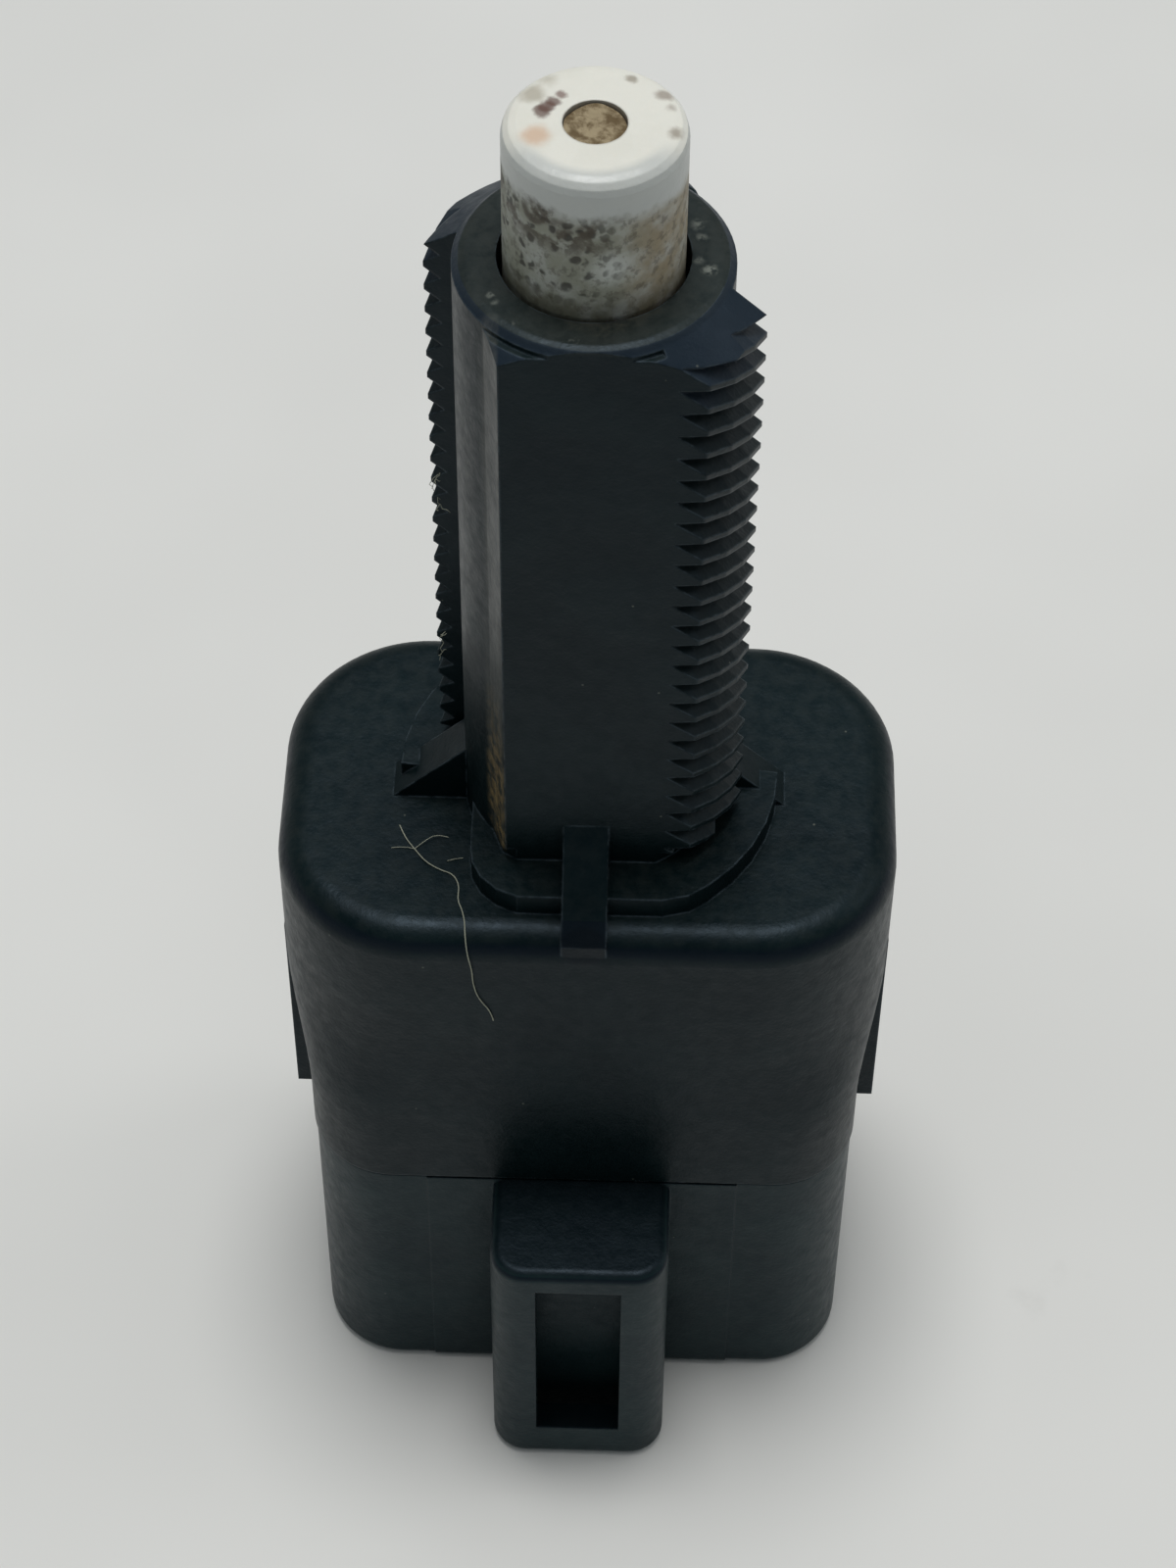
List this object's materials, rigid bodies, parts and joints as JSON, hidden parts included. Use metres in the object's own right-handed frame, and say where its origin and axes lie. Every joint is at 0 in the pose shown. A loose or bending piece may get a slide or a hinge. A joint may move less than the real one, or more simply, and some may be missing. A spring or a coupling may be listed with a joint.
{
  "type": "brake light switch",
  "caption": "Pedal switch with a toothed mounting barrel, a sprung white plunger, a rounded cover and an open connector socket with a latch loop.",
  "frame": {"origin": "centre of the connector's open rim on the barrel axis, the plane the switch stands on", "axes": "+Z along the barrel towards the plunger tip, X across the wide side, -Y towards the latch loop"},
  "size_m": [0.0238, 0.0204, 0.0636],
  "materials": {
    "housing_plastic": "black glass-filled nylon, satin and finely textured",
    "base_plastic": "black glass-filled nylon, satin and finely textured",
    "plunger_plastic": "white acetal, satin",
    "carrier_plastic": "natural nylon, satin",
    "spring_steel": "drawn spring wire",
    "bridge_brass": "stamped strip",
    "terminal_brass": "tin-plated stamped strip",
    "contact_silver": "silver alloy"
  },
  "bodies": {
    "housing": {"upper_housing": "housing_plastic", "connector_base": "base_plastic", "return_spring": "spring_steel", "lamp_terminal_front": "terminal_brass", "lamp_contact_front": "contact_silver", "lamp_terminal_back": "terminal_brass", "lamp_contact_back": "contact_silver", "cruise_terminal_front": "terminal_brass", "cruise_contact_front": "contact_silver", "cruise_terminal_back": "terminal_brass", "cruise_contact_back": "contact_silver"},
    "plunger": {"plunger": "plunger_plastic", "contact_carrier": "carrier_plastic", "lamp_bridge": "bridge_brass", "lamp_bridge_spring": "spring_steel", "lamp_button_front": "contact_silver", "lamp_button_back": "contact_silver", "cruise_bridge": "bridge_brass", "cruise_bridge_spring": "spring_steel", "cruise_button_front": "contact_silver", "cruise_button_back": "contact_silver"}
  },
  "joints": [
    {"name": "plunger_slide", "type": "slide", "parent": "housing", "child": "plunger", "axis": [0, 0, -1], "range_m": [0, 0.005], "stiffness_N_per_m": 600, "springref_m": -0.004, "deforming": ["return_spring"]}
  ]
}
